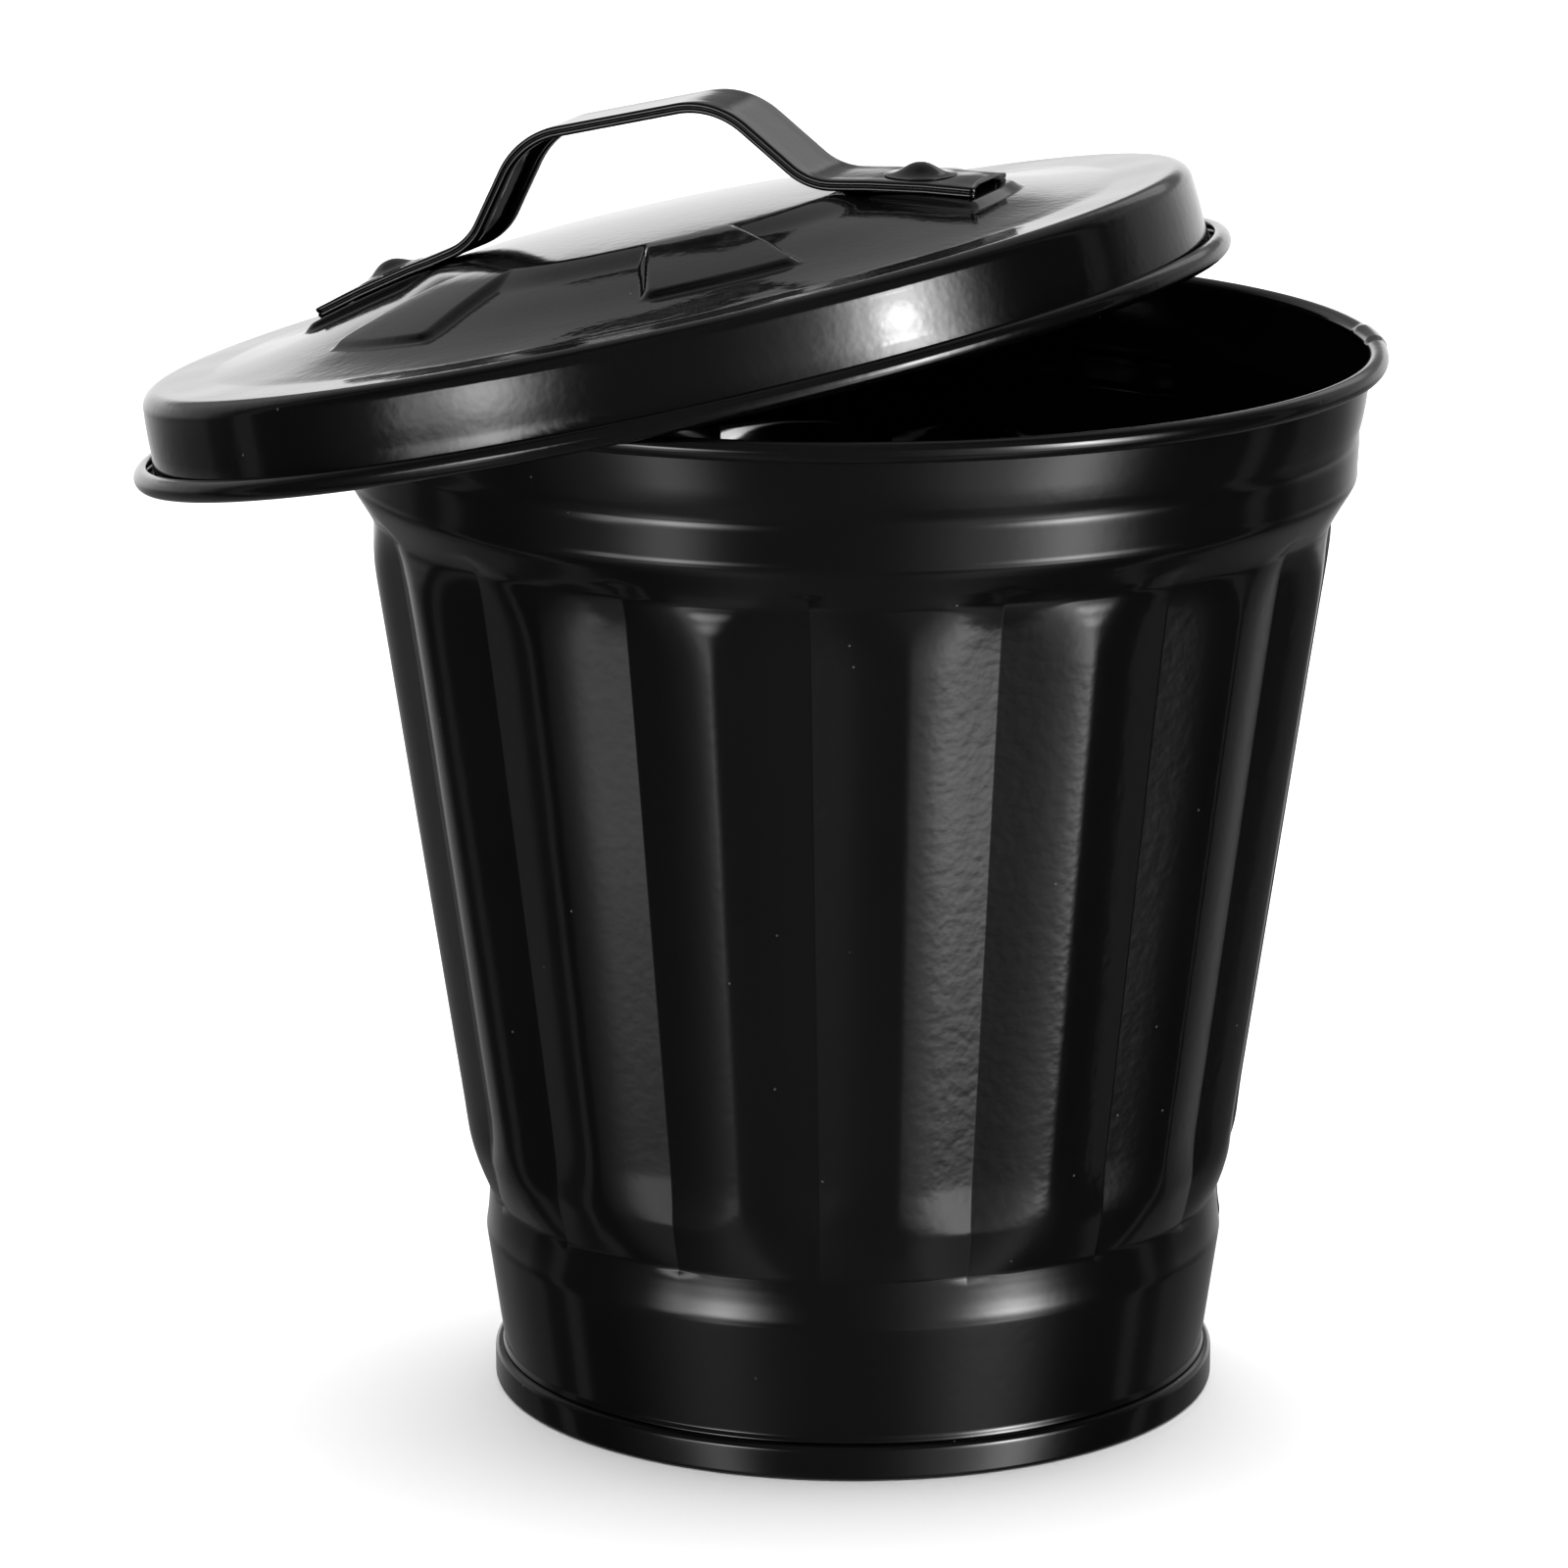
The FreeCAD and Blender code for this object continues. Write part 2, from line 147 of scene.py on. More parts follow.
VALLEY_OFF = pchip([
    (FLUTE_BOTTOM, -1.70), (34.5, -1.54), (37.4, -1.31), (38.8, -1.25), (40.2, -1.36), (43.0, -1.70), (47.0, -1.95), (60.0, -2.05),
    (90.0, -2.27), (122.0, -2.50), (131.0, -2.47), (134.5, -2.40), (136.6, -2.24), (138.2, -1.95), (139.4, -1.15), (FLUTE_TOP, -0.27)])


def valley_r(z):
    v = cone(z) + VALLEY_OFF(z)
    v = np.where(z > FLUTE_TOP, plain_r(z) + 0.9 * (z - FLUTE_TOP), v)
    return np.where(z < FLUTE_BOTTOM, plain_r(z) + 0.9 * (FLUTE_BOTTOM - z), v)


half = 180.0 / FLUTES
one = np.array([0, .6, 1.2, 1.8, 2.4, 3.0, 3.7, 4.5, 5.5, 6.7, 8.0, 9.2, 10.2, 10.8, 11.1])
pitch = np.concatenate([-np.array([11.25]), -one[:0:-1], one])
PHI = np.concatenate([FLUTE_FRONT + k * 2 * half + pitch for k in range(FLUTES)])   # from the front, to the right
ALPHA = np.tile(pitch, FLUTES)


def wall_surface(z, off):
    """Radius at heights z (rows) for every column, moved by off."""
    z = np.asarray(z, float)[:, None]
    p = plain_r(z)
    b = math.radians(FACET_TILT)
    v = valley_r(z)
    f = v * math.cos(b) / np.cos(np.radians(half) + b - np.radians(np.abs(ALPHA))[None, :])
    f = f + 0.25 * (1 - step(z, 31.6, 37.5)) + 0.25 * step(z, 135.5, 140.2)      # the valleys run out softly
    r = smin(p, f, 1.6)
    # lapped side seam
    d = (SEAM_HALF - np.abs(PHI - SEAM_AZ))[None, :] * math.pi / 180 * p
    if off == 0:
        r = r + 0.42 * step(d, -0.25, 0.35) * step(z, 6.5, 8.5)
        # paint gathered in the corner above the seamed bottom
        r = r + 0.42 * (1 - step(z, 5.55, 6.6)) * step(z, 5.2, 5.6)
    return r + off


zo = np.unique(np.concatenate([
    np.arange(0.6, 5.2, 0.9), np.arange(5.2, 7.2, 0.12), np.arange(7.2, 12, 0.9), np.arange(12, 22, 1.0), np.arange(22, 48, 0.3), np.arange(48, 126, 2.0),
    np.arange(126, 162.8, 0.3), [163.0]]))
zi = np.unique(np.concatenate([np.arange(0.6, 22, 2.0), np.arange(22, 46, 0.6), np.arange(46, 118, 4.0),
                               np.arange(118, 162.8, 0.7), [163.0]]))[::-1]
ang = np.radians(PHI - 90.0)
ca, sa = np.cos(ang)[None, :], np.sin(ang)[None, :]


def rows_of(R, Z):
    return np.stack([R * ca, R * sa, Z + 0 * R], -1)


lap = step(4.2 - np.abs(PHI - SEAM_AZ), -0.12, 0.12)[None, :]
cr, cz = RIM_R - CURL_R, RIM_TOP - CURL_R
qa = np.radians(np.linspace(180, -125, 26))[1:, None]
qb = np.radians(np.linspace(-125, 180, 34))[:, None]
W = [rows_of(wall_surface(zo, 0.0), zo[:, None]),
     rows_of(cr + (CURL_R - SHEET) * np.cos(qa) + 0 * ca, cz + (CURL_R - SHEET) * np.sin(qa) + 0 * ca),
     rows_of(cr + (CURL_R + 0.24 * lap) * np.cos(qb), cz + (CURL_R + 0.24 * lap) * np.sin(qb)),
     rows_of(wall_surface(zi[1:], -SHEET), zi[1:, None])]
W = np.concatenate(W)
bin_wall = make_mesh("bin_wall", W.reshape(-1, 3), grid_faces(W.shape[0], W.shape[1], True))


# ---------------------------------------------------------------- bin bottom
def turned(name, prof, cols, az0=0.0):
    """Closed profile from axis to axis, turned round Z."""
    prof = np.asarray(prof, float)
    a = np.radians(np.arange(cols) * 360.0 / cols + az0)
    ring = prof[1:-1]
    V = np.stack([ring[:, :1] * np.cos(a), ring[:, :1] * np.sin(a), ring[:, 1:] + 0 * a], -1).reshape(-1, 3)
    V = np.concatenate([V, [[0, 0, prof[0, 1]], [0, 0, prof[-1, 1]]]])
    n = len(ring)
    f = grid_faces(n, cols, False)
    p0, p1 = n * cols, n * cols + 1
    for j in range(cols):
        k = (j + 1) % cols
        f.append([p0, k, j])
        f.append([p1, (n - 1) * cols + j, (n - 1) * cols + k])
    return V, f


t = SHEET
pan = np.concatenate([
    [(0, PAN_Z), (6, PAN_Z), (13, PAN_Z), (19.6, PAN_Z)], [(20.4, PAN_Z + .12), (21.0, PAN_Z + .5), (21.5, PAN_Z + .82), (22.4, PAN_Z + .9)],
    [(30, PAN_Z + .9), (38, PAN_Z + .9), (43.2, PAN_Z + .9)], [(44.0, PAN_Z + .8), (44.7, PAN_Z + .45), (45.3, PAN_Z + .1), (46.2, PAN_Z)],
    [(49, PAN_Z), (51.6, PAN_Z), (52.5, PAN_Z - 0.3), (52.9, PAN_Z - 1.0), (53.05, 1.6), (53.1, 0.6), (53.2, .3), (53.4, 0.1), (53.8, 0.0), (54.8, 0.0), (55.6, 0.0)],
    arc(CHIME_R - 0.75, 0.75, 0.75, -80, 0, 8), arc(CHIME_R - 1.05, CHIME_TOP - 1.05, 1.05, 0, 90, 10),
    [(55.3, CHIME_TOP - 0.04), (55.13, CHIME_TOP - .18), (55.08, CHIME_TOP - 0.36), (55.20, CHIME_TOP - 0.6)],
    arc(CHIME_R - 1.05, CHIME_TOP - 1.05, 1.05 - t, 90, 0, 6), arc(CHIME_R - 0.75, 0.75, 0.75 - t + 0.02, 0, -80, 4),
    [(55.6, .46), (53.70, .46), (53.52, 0.75), (53.34, PAN_Z - 0.9), (52.95, PAN_Z + 0.1), (52.6, PAN_Z + .34), (52.1, PAN_Z + t), (49, PAN_Z + t), (46.3, PAN_Z + t)],
    [(45.4, PAN_Z + .1 + t), (44.8, PAN_Z + .45 + t), (44.1, PAN_Z + .8 + t), (43.3, PAN_Z + .9 + t), (38, PAN_Z + .9 + t), (30, PAN_Z + .9 + t), (22.3, PAN_Z + .9 + t),
     (21.4, PAN_Z + .82 + t), (20.9, PAN_Z + .5 + t), (20.3, PAN_Z + .12 + t), (19.5, PAN_Z + t), (13, PAN_Z + t), (6, PAN_Z + t), (0, PAN_Z + t)]])
V, F = turned("bin_bottom", pan, 256)
bin_bottom = make_mesh("bin_bottom", V, F)


# ------------------------------------------------------------------------ lid
LID_BASE = pchip([(0.0, 7.6), (10.0, 7.55), (20.0, 7.3), (29.0, 6.95), (36.5, 6.35), (40.0, 5.85), (45.0, 4.85), (54.0, 2.8),
                  (57.0, 2.18), (60.0, 1.62), (63.0, 1.1), (66.0, 0.66), (68.5, 0.34), (70.3, 0.12), (71.4, 0.02), (72.5, 0.0), (80.15, 0.0)])

LCOLS = 720
LTH = np.arange(LCOLS) * 360.0 / LCOLS          # azimuth in the lid's frame


def waves(th, n):
    """Slow uneven swells round the lid."""
    a = np.radians(th)
    return (np.sin(5 * a + 0.7 + n) + 0.8 * np.sin(9 * a + 2.1 * n) + 0.7 * np.sin(14 * a + 1.3 - n)
            + 0.5 * np.sin(23 * a + 0.4 + 2 * n)) / 3.0


def lid_top(r, th):
    """Height of the lid's upper surface."""
    base = LID_FLAT + LID_BASE(r)
    panel = LID_FLAT + smin(11.2 - 0.00247 * r * r, HUB_H + 0.3 - 0.00093 * r * r, 0.4)      # panels, and the nearly flat hub inside them
    d = (th - PANEL_AZ + 30.0) % 60.0 - 30.0
    side = r * np.sin(np.radians(np.clip(PANEL_HALF - np.abs(d), -80, 80)))
    inside = smin(side, PANEL_OUT - r, 1.6)
    inside = smax(inside, (HUB_R + 1.0 - r) * 0.22, 0.5)       # the hub rolls softly down into the valleys
    m = step(inside, -0.85, 0.95)
    z = base + (panel - base) * m
    z = z + 0.10 * waves(th, 0.0) * step(r, 66, 72) * (1 - step(r, 77.5, 80))
    z = z + 0.05 * waves(th, 1.7) * step(r, 20, 40) * (1 - step(r, 68, 74))
    return z


rt = np.unique(np.concatenate([np.arange(1.5, 20, 1.5), np.arange(20, 33, 1.0), np.arange(33, 40, 0.25), np.arange(40, 54, 0.8), np.arange(54, 60, 0.25),
                               np.arange(60, 68, 0.8), np.arange(68, 73, 0.25), np.arange(73, 80.1, 0.8)]))
lc, ls = np.cos(np.radians(LTH))[None, :], np.sin(np.radians(LTH))[None, :]


def lid_rows(prof):
    prof = np.asarray(prof, float)
    R, Z = prof[:, :1], prof[:, 1:]
    return np.stack([R * lc, R * ls, Z + 0 * lc], -1)


ri = LID_SKIRT_TOP - LID_SHOULDER
top = np.stack([rt[:, None] * lc, rt[:, None] * ls, lid_top(rt[:, None], LTH[None, :])], -1)
sk = pchip([(0.0, LID_SKIRT_LOW), (1.2, 83.38), (2.4, 83.2), (LID_FLARE, LID_SKIRT_MID + 0.02), (4.4, 83.09), (5.7, 83.06), (7.2, 82.99), (8.7, 82.89), (LID_FLAT - LID_SHOULDER, LID_SKIRT_TOP)])
zs = np.concatenate([np.linspace(LID_FLAT - LID_SHOULDER, LID_FLARE, 15)[1:], np.linspace(LID_FLARE, 0, 8)[1:]])
skirt_out = np.stack([sk(zs), zs], -1)
skirt_in = np.stack([sk(zs[::-1]) - LID_SHEET, zs[::-1]], -1)
L = np.concatenate([
    top,
    lid_rows(arc(ri, LID_FLAT - LID_SHOULDER, LID_SHOULDER, 90, 0, 16)),
    lid_rows(skirt_out),
    lid_rows(arc(LID_CURL_C, 0.0, LID_CURL_R - LID_SHEET, 180, 470, 26)[1:]),
    lid_rows(arc(LID_CURL_C, 0.0, LID_CURL_R, 470, 180, 34)),
    lid_rows(skirt_in[1:]),
    lid_rows(arc(ri, LID_FLAT - LID_SHOULDER, LID_SHOULDER - LID_SHEET, 0, 90, 12)),
    top[::-1] - np.array([0, 0, LID_SHEET])])
nl = L.shape[0]
LV = np.concatenate([L.reshape(-1, 3), [[0, 0, float(lid_top(np.array(0.0), np.array(0.0)))],
                                        [0, 0, float(lid_top(np.array(0.0), np.array(0.0))) - LID_SHEET]]])
LF = grid_faces(nl, LCOLS, False, flip=True)
for j in range(LCOLS):
    k = (j + 1) % LCOLS
    LF.append([nl * LCOLS, j, k])
    LF.append([nl * LCOLS + 1, (nl - 1) * LCOLS + k, (nl - 1) * LCOLS + j])

a = math.radians(LID_TILT_DIR)
K = np.array([[0, 0, math.cos(a)], [0, 0, math.sin(a)], [-math.cos(a), -math.sin(a), 0]])
th_ = math.radians(LID_TILT)
LID_R = np.eye(3) + math.sin(th_) * K + (1 - math.cos(th_)) * K @ K
q = math.radians(STRAP_AZ)
TURN = np.array([[math.cos(q), -math.sin(q), 0], [math.sin(q), math.cos(q), 0], [0, 0, 1]])


def lay(P):
    """From the lid's frame to where the lid lies."""
    return np.asarray(P) @ LID_R.T + np.array(LID_POS)


lid_skin = make_mesh("lid_skin", lay(LV), LF)


# --------------------------------------------------------------- handle strap
def panel_z(s):
    return LID_FLAT + 11.2 - 0.00247 * s * s


def foot_z(s):
    return panel_z(s) + 0.15 + HEM_T


TOP_LINE = [(-55.8, LID_FLAT + 5.25), (-48.0, foot_z(48.0) - 0.07), (-39.0, foot_z(39.0) - 0.05), (-LEG_OUT_L, foot_z(LEG_OUT_L) + 0.02),
            (-GRIP_BEND_L, GRIP_Z), (GRIP_BEND, GRIP_Z),
            (LEG_OUT, foot_z(LEG_OUT) + 0.02), (39.0, foot_z(39.0) - 0.05), (48.0, foot_z(48.0) - 0.07), (55.8, LID_FLAT + 5.25)]
BEND = [0, 30.0, 30.0, 9.0, 14.0, 14.0, 9.0, 30.0, 30.0, 0]


def strap_line(stepmm):
    """Points and downward normals along the strap's top line."""
    P, N = [], []
    pts = TOP_LINE
    n = len(pts)
    prev = None
    for i in range(n):
        x, z = pts[i]
        if i in (0, n - 1):
            o = pts[1] if i == 0 else pts[-2]
            ux, uz = (o[0] - x, o[1] - z) if i == 0 else (x - o[0], z - o[1])
            s_ = math.hypot(ux, uz)
            new = [((x, z), (uz / s_, -ux / s_))]
        else:
            (x0, z0), (x1, z1) = pts[i - 1], pts[i + 1]
            a0, a1 = math.atan2(z - z0, x - x0), math.atan2(z1 - z, x1 - x)
            R, sg = BEND[i], 1.0 if a1 > a0 else -1.0
            tl = R * math.tan(abs(a1 - a0) / 2)
            sx, sz = x - tl * math.cos(a0), z - tl * math.sin(a0)
            cx, cz_ = sx - sg * R * math.sin(a0), sz + sg * R * math.cos(a0)
            m = max(3, int(abs(a1 - a0) * R / stepmm) + 1)
            new = []
            for k in range(m + 1):
                aa = a0 + (a1 - a0) * k / m
                new.append(((cx + sg * R * math.sin(aa), cz_ - sg * R * math.cos(aa)), (math.sin(aa), -math.cos(aa))))
        if prev is not None:
            (xa, za), na = prev
            (xb, zb), nb = new[0]
            m = int(math.hypot(xb - xa, zb - za) / stepmm)
            for k in range(1, m):
                f = k / m
                P.append((xa + (xb - xa) * f, za + (zb - za) * f))
                N.append((na[0] + (nb[0] - na[0]) * f, na[1] + (nb[1] - na[1]) * f))
        for p_, n_ in new:
            P.append(p_)
            N.append(n_)
        prev = new[-1]
    return np.array(P), np.array(N)


hw = STRAP_W / 2


def strap_section():
    """(across, down) outline: a web between two folded edges that show two rounded layers."""
    e = []
    for w in np.linspace(-4.4, 4.4, 9):
        e.append((w, 0.06))
    e += [(5.2, 0.03), (6.0, 0.0), (6.7, 0.0)]
    e += [(hw - 0.42 + 0.42 * math.sin(x), 0.42 - 0.42 * math.cos(x)) for x in np.radians(np.arange(15, 151, 15))]
    e += [(hw - 0.30, 0.83)]
    e += [(hw - 0.45 + 0.45 * math.sin(x), 1.25 - 0.45 * math.cos(x)) for x in np.radians(np.arange(35, 181, 15))]
    e += [(6.2, HEM_T), (hw - HEM_W + 0.25, HEM_T), (hw - HEM_W + 0.05, HEM_T - 0.08), (hw - HEM_W, HEM_T - 0.25), (hw - HEM_W - 0.04, 0.86), (hw - HEM_W - 0.2, 0.72)]
    for w in np.linspace(4.2, -4.2, 7):
        e.append((w, STRAP_T))
    right = e[9:-7]
    e += [(-w, d) for w, d in right[::-1]]
    return np.array(e)


P, N = strap_line(0.7)
S = strap_section()
ns, ne = len(P), len(S)
SV = np.zeros((ns, ne, 3))
for i in range(ns):
    s_ = abs(P[i, 0])
    lift = 0.35 * step(s_, 46, 55.5) * (1 - (S[:, 0] / hw) ** 2) ** 2      # the web bows up at the free end
    sink = 0.00247 * S[:, 0] ** 2 * step(s_, 29, 36)                        # the foot follows the panel across
    notch = math.copysign(1.1, P[i, 0]) * step(s_, 51.5, 55.8) * (1 - (S[:, 0] / hw) ** 2)
    SV[i, :, 0] = P[i, 0] + N[i, 0] * (S[:, 1] - lift) - notch
    SV[i, :, 1] = S[:, 0]
    SV[i, :, 2] = P[i, 1] + N[i, 1] * (S[:, 1] - lift) - sink
SF = grid_faces(ns, ne, False, flip=True)
SF.append(list(range(ne)))
SF.append([(ns - 1) * ne + j for j in range(ne)][::-1])
handle = make_mesh("handle", lay(SV.reshape(-1, 3) @ TURN.T), SF)

# --------------------------------------------------------------------- rivets
x0, z0 = TOP_LINE[7]
x1, z1 = TOP_LINE[8]
slope = math.atan2(z1 - z0, x1 - x0)
zr = z0 + (z1 - z0) * (RIVET_S - x0) / (x1 - x0)
gap = (zr - panel_z(RIVET_S)) + 0.12
head = pchip([(0.0, RIVET_HEAD_H), (0.8, 1.83), (1.6, 1.58), (2.4, 1.16), (3.2, 0.68), (4.0, 0.33), (4.8, 0.14), (RIVET_HEAD_R, 0.07)])
hr = np.concatenate([np.arange(0, 5.4, 0.3), [RIVET_HEAD_R - 0.05]])
rv = np.concatenate([np.stack([hr, head(hr)], -1), [(RIVET_HEAD_R, 0.06), (RIVET_HEAD_R, 0.0), (4.6, -0.02), (1.5, -0.02), (1.5, -gap - 0.5), (2.4, -gap - 0.5),
                                                    (2.5, -gap - 0.9), (2.3, -gap - 1.3), (1.6, -gap - 1.48), (0.0, -gap - 1.5)]])
RV, RF = [], []
for side in (1, -1):
    V, F = turned("rivet", rv, 64)
    b = -side * slope
    B = np.array([[math.cos(b), 0, math.sin(b)], [0, 1, 0], [-math.sin(b), 0, math.cos(b)]])
    V = (V @ B.T + np.array([side * RIVET_S, 0, zr])) @ TURN.T
    RF += [[i + sum(len(v) for v in RV) for i in f[::-1]] for f in F]
    RV.append(lay(V))
rivets = make_mesh("handle_rivet_heads", np.concatenate(RV), RF)

for ob, body, node, slot in ((bin_wall, "bin", "body_shell", "bin_paint"), (bin_bottom, "bin", "base_pan", "bin_paint"),
                             (lid_skin, "lid", "lid_shell", "lid_paint"), (handle, "lid", "handle_strap", "lid_paint"),
                             (rivets, "lid", "handle_rivets", "lid_paint")):
    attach(ob, body)
    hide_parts(node)


# ------------------------------------------------------------------ materials
def paint(name, peel, peel_scale, swell, rough0, rough1, where=None):
    """Gloss black stove paint: orange peel, slow swells, uneven gloss and a little dust."""
    m = bpy.data.materials.new(name)
    m.use_nodes = True
    nt = m.node_tree
    nt.nodes.clear()
    n = nt.nodes.new
    l = nt.links.new
    out = n("ShaderNodeOutputMaterial")
    bs = n("ShaderNodeBsdfPrincipled")
    l(bs.outputs[0], out.inputs[0])
    bs.inputs["IOR"].default_value = 1.5
    tc = n("ShaderNodeTexCoord")
    # orange peel
    n1 = n("ShaderNodeTexNoise")
    n1.inputs["Scale"].default_value = peel_scale
    n1.inputs["Detail"].default_value = 1.5
    n1.inputs["Roughness"].default_value = 0.45
    l(tc.outputs["Object"], n1.inputs["Vector"])
    b1 = n("ShaderNodeBump")
    b1.inputs["Strength"].default_value = 1.0
    b1.inputs["Distance"].default_value = peel
    if where is None:
        l(n1.outputs["Fac"], b1.inputs["Height"])
    else:
        # strongest on the fluted part and at one side, where the coat is thinnest
        sx = n("ShaderNodeSeparateXYZ")
        l(tc.outputs["Object"], sx.inputs[0])
        lo, hi, side = n("ShaderNodeMapRange"), n("ShaderNodeMapRange"), n("ShaderNodeMapRange")
        for k, src, v0, v1, t0, t1 in ((lo, 2, where[0], where[0] + 0.008, 0.25, 1.0), (hi, 2, where[1] - 0.008, where[1], 1.0, 0.25), (side, 0, -0.005, 0.02, 0.35, 1.0)):
            k.interpolation_type = "SMOOTHSTEP"
            l(sx.outputs[src], k.inputs["Value"])
            k.inputs["From Min"].default_value, k.inputs["From Max"].default_value = v0, v1
            k.inputs["To Min"].default_value, k.inputs["To Max"].default_value = t0, t1
        prod = n1.outputs["Fac"]
        for k in (lo, hi, side):
            mm = n("ShaderNodeMath")
            mm.operation = "MULTIPLY"
            l(prod, mm.inputs[0])
            l(k.outputs[0], mm.inputs[1])
            prod = mm.outputs[0]
        l(prod, b1.inputs["Height"])
    # slow swells of the pressed sheet
    n2 = n("ShaderNodeTexNoise")
    n2.inputs["Scale"].default_value = 62.0
    n2.inputs["Detail"].default_value = 1.0
    l(tc.outputs["Object"], n2.inputs["Vector"])
    b2 = n("ShaderNodeBump")
    b2.inputs["Strength"].default_value = 1.0
    b2.inputs["Distance"].default_value = swell
    l(n2.outputs["Fac"], b2.inputs["Height"])
    l(b1.outputs["Normal"], b2.inputs["Normal"])
    l(b2.outputs["Normal"], bs.inputs["Normal"])
    # dust: few small pale specks
    vo = n("ShaderNodeTexVoronoi")
    vo.inputs["Scale"].default_value = 150.0
    l(tc.outputs["Object"], vo.inputs["Vector"])
    r1 = n("ShaderNodeValToRGB")
    r1.color_ramp.elements[0].position = 0.018
    r1.color_ramp.elements[0].color = (0.10, 0.10, 0.10, 1)
    r1.color_ramp.elements[1].position = 0.032
    r1.color_ramp.elements[1].color = (0.0018, 0.0018, 0.0019, 1)
    l(vo.outputs["Distance"], r1.inputs["Fac"])
    n3 = n("ShaderNodeTexNoise")
    n3.inputs["Scale"].default_value = 25.0
    n3.inputs["Detail"].default_value = 3.0
    l(tc.outputs["Object"], n3.inputs["Vector"])
    r3 = n("ShaderNodeValToRGB")
    r3.color_ramp.elements[0].position = 0.35
    r3.color_ramp.elements[0].color = (0.0017, 0.0017, 0.0018, 1)
    r3.color_ramp.elements[1].position = 0.7
    r3.color_ramp.elements[1].color = (0.0026, 0.0026, 0.0028, 1)
    l(n3.outputs["Fac"], r3.inputs["Fac"])
    mx = n("ShaderNodeMix")
    mx.data_type = "RGBA"
    mx.blend_type = "LIGHTEN"
    mx.inputs[0].default_value = 1.0
    l(r1.outputs["Color"], mx.inputs[6])
    l(r3.outputs["Color"], mx.inputs[7])
    l(mx.outputs[2], bs.inputs["Base Color"])
    mr = n("ShaderNodeMapRange")
    mr.inputs["From Min"].default_value = 0.3
    mr.inputs["From Max"].default_value = 0.75
    mr.inputs["To Min"].default_value = rough0
    mr.inputs["To Max"].default_value = rough1
    l(n3.outputs["Fac"], mr.inputs["Value"])
    l(mr.outputs[0], bs.inputs["Roughness"])
    return m


bin_paint = paint("bin_gloss_black", 0.000036, 560.0, 0.000022, 0.08, 0.13, where=(0.033, 0.140))
lid_paint = paint("lid_gloss_black", 0.000022, 620.0, 0.00002, 0.06, 0.10)
for ob in (bin_wall, bin_bottom):
    ob.data.materials.append(bin_paint)
for ob in (lid_skin, handle, rivets):
    ob.data.materials.append(lid_paint)

# ----------------------------------------------------------------- the studio
# pale floor
fm = bpy.data.materials.new("floor_white")
fm.use_nodes = True
fb = fm.node_tree.nodes["Principled BSDF"]
fb.inputs["Base Color"].default_value = (0.86, 0.86, 0.86, 1)
fb.inputs["Roughness"].default_value = 0.9
fb.inputs["Specular IOR Level"].default_value = 0.1
cols = 96
fa = np.radians(np.arange(cols) * 360.0 / cols)
FV = [[0, 0, -0.02]] + [[9000 * math.cos(x), 9000 * math.sin(x), -0.02] for x in fa]
floor = make_mesh("floor", FV, [[0, j + 1, (j + 1) % cols + 1] for j in range(cols)])
floor.data.materials.append(fm)
floor.visible_glossy = False

# overhead soft light for the floor
sun = bpy.data.lights.new("overhead", "SUN")
sun.energy = 8.5
sun.angle = math.radians(150)
so = bpy.data.objects.new("overhead", sun)
so.visible_glossy = False
so.rotation_euler = (math.radians(-48), 0, 0)      # from behind
bpy.context.scene.collection.objects.link(so)

# surroundings: white backdrop, dark room, two soft boxes
world = bpy.data.worlds.new("studio")
bpy.context.scene.world = world
world.use_nodes = True
world.cycles_visibility.diffuse = False
nt = world.node_tree
nt.nodes.clear()


def node(kind, **kw):
    x = nt.nodes.new(kind)
    for k, v in kw.items():
        setattr(x, k, v)
    return x


def math_node(op, a, b=None, c=None):
    x = node("ShaderNodeMath", operation=op)
    for i, v in enumerate((a, b, c)):
        if v is None:
            continue
        if isinstance(v, (int, float)):
            x.inputs[i].default_value = v
        else:
            nt.links.new(v, x.inputs[i])
    return x.outputs[0]


def smooth(v, lo, hi):
    x = node("ShaderNodeMapRange", interpolation_type="SMOOTHSTEP")
    nt.links.new(v, x.inputs["Value"])
    x.inputs["From Min"].default_value = lo
    x.inputs["From Max"].default_value = hi
    return x.outputs[0]


tc = node("ShaderNodeTexCoord")
sep = node("ShaderNodeSeparateXYZ")
nt.links.new(tc.outputs["Generated"], sep.inputs[0])
X, Y, Z = sep.outputs
elev = math_node("MULTIPLY", math_node("ARCSINE", Z), 180 / math.pi)
azim = math_node("MULTIPLY", math_node("ARCTAN2", X, math_node("MULTIPLY", Y, -1.0)), 180 / math.pi)   # 0 towards the camera, + to the right


def band(v, a0, a1, a2, a3):
    """0 below a0, 1 from a1 to a2, 0 above a3."""
    return math_node("MULTIPLY", smooth(v, a0, a1), math_node("SUBTRACT", 1.0, smooth(v, a2, a3)))


def patch(az, el, level):
    return math_node("MULTIPLY", math_node("MULTIPLY", band(azim, *az), band(elev, *el)), level)


absaz = math_node("ABSOLUTE", azim)


def lobe(v, mid, width):
    """Bell round mid."""
    d = math_node("DIVIDE", math_node("SUBTRACT", v, mid), width)
    return math_node("EXPONENT", math_node("MULTIPLY", math_node("MULTIPLY", d, d), -1.0))


def times(*vs):
    r = vs[0]
    for v in vs[1:]:
        r = math_node("MULTIPLY", r, v)
    return r


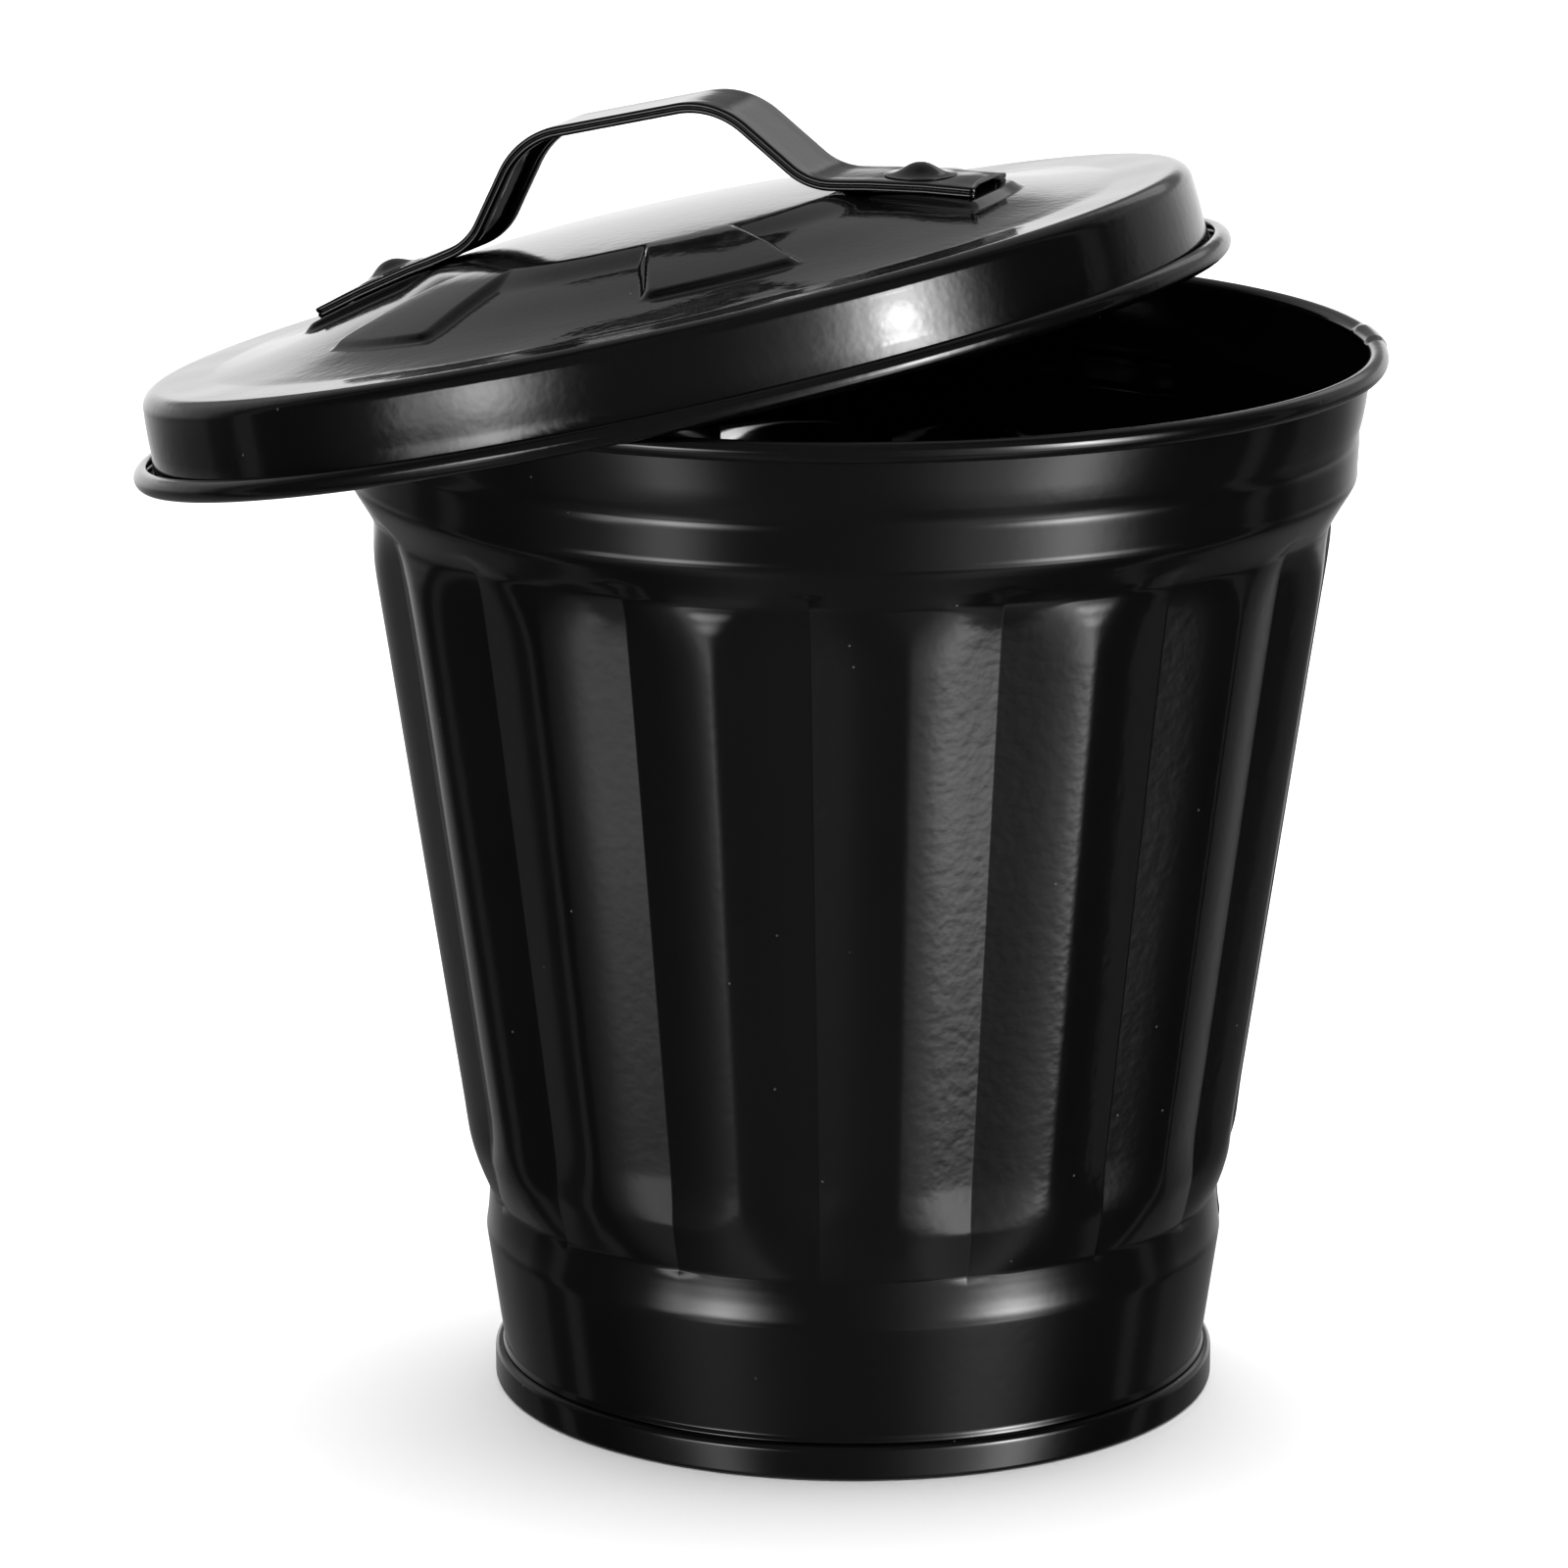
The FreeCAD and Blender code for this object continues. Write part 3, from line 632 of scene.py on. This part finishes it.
dd = math_node("ADD", math_node("POWER", math_node("DIVIDE", math_node("SUBTRACT", azim, 49.5), 5.0), 2.0),
               math_node("POWER", math_node("DIVIDE", math_node("SUBTRACT", elev, 10.0), 4.0), 2.0))
parts = [
    # white backdrop, brightest low down, and the dimmer room round and above it
    times(smooth(absaz, 138, 170), band(elev, -22, -6, 5, 11), 0.66),
    times(band(absaz, 106, 124, 146, 166), band(elev, -16, -2, 24, 38), 0.20),
    times(smooth(absaz, 124, 160), band(elev, -16, -2, 5, 13), 0.25),
    times(smooth(absaz, 112, 140), band(elev, -18, -2, 55, 75), 0.11),
    times(smooth(absaz, 116, 122), 0.06), times(smooth(absaz, 124, 152), 0.06),
    times(band(absaz, 99, 102.5, 105, 110), 0.10),
    times(band(azim, 144, 152, 167, 173), band(elev, 15, 20, 30, 40), 0.50),
    # left soft box: low dim part, bright part
    times(lobe(azim, -42.5, 9.5), band(elev, -32.8, -27.0, 0, 7), 1.25),
    times(lobe(azim, -40.0, 10.5), band(elev, -15, -1, 3, 9), 7.0),
    times(lobe(azim, -56.0, 6.0), band(elev, -16, -8, -1, 4), 1.6),
    # right soft box: low dim part, bright part, lamp, spill
    times(lobe(azim, 51.5, 10.5), band(elev, -32.6, -26.6, 20, 28), 2.7),
    times(lobe(azim, 50.0, 11.0), band(elev, -16, 4, 20, 28), 13.0),
    times(math_node("EXPONENT", math_node("MULTIPLY", math_node("MULTIPLY", dd, dd), -1.0)), 11.0),
    times(lobe(azim, 38.0, 18.0), band(elev, -38, -26, 20, 34), 0.8),
    times(lobe(azim, -52.0, 16.0), band(elev, -38, -26, 4, 16), 0.14),
    # glow of the table under the lights
    times(lobe(azim, 45.0, 16.0), band(elev, -78, -60, -36, -24), 0.30),
    times(lobe(azim, -44.0, 17.0), band(elev, -78, -60, -36, -24), 0.18),
    times(math_node("SUBTRACT", 1.0, smooth(absaz, 55, 88)), 0.09),
    0.035,
]
total = parts[0]
for p_ in parts[1:]:
    total = math_node("ADD", total, p_)
lp = node("ShaderNodeLightPath")
mixv = node("ShaderNodeMix", data_type="FLOAT")
nt.links.new(lp.outputs["Is Camera Ray"], mixv.inputs[0])
nt.links.new(total, mixv.inputs[2])
mixv.inputs[3].default_value = 1.3
bg = node("ShaderNodeBackground")
nt.links.new(mixv.outputs[0], bg.inputs["Strength"])
bg.inputs["Color"].default_value = (1, 1, 1, 1)
wo = node("ShaderNodeOutputWorld")
nt.links.new(bg.outputs[0], wo.inputs[0])

# ------------------------------------------------------------------- the camera
cam = bpy.data.cameras.new("camera")
cam.lens = 172.64
cam.sensor_width = 36.0
cam.clip_start = 0.05
cam.clip_end = 50
co = bpy.data.objects.new("camera", cam)
bpy.context.scene.collection.objects.link(co)
rt_, up_, fw_ = (0.99995797, 0.00891954, -0.00212319), (-3.29e-05, 0.23506001, 0.97198086), (-0.0091687, 0.97193993, -0.23505043)
co.matrix_world = Matrix(((rt_[0], up_[0], -fw_[0], 0.0), (rt_[1], up_[1], -fw_[1], -1.13673),
                          (rt_[2], up_[2], -fw_[2], 0.369734), (0, 0, 0, 1)))
bpy.context.scene.camera = co
bpy.context.scene.view_settings.view_transform = "Standard"
bpy.context.scene.view_settings.look = "None"
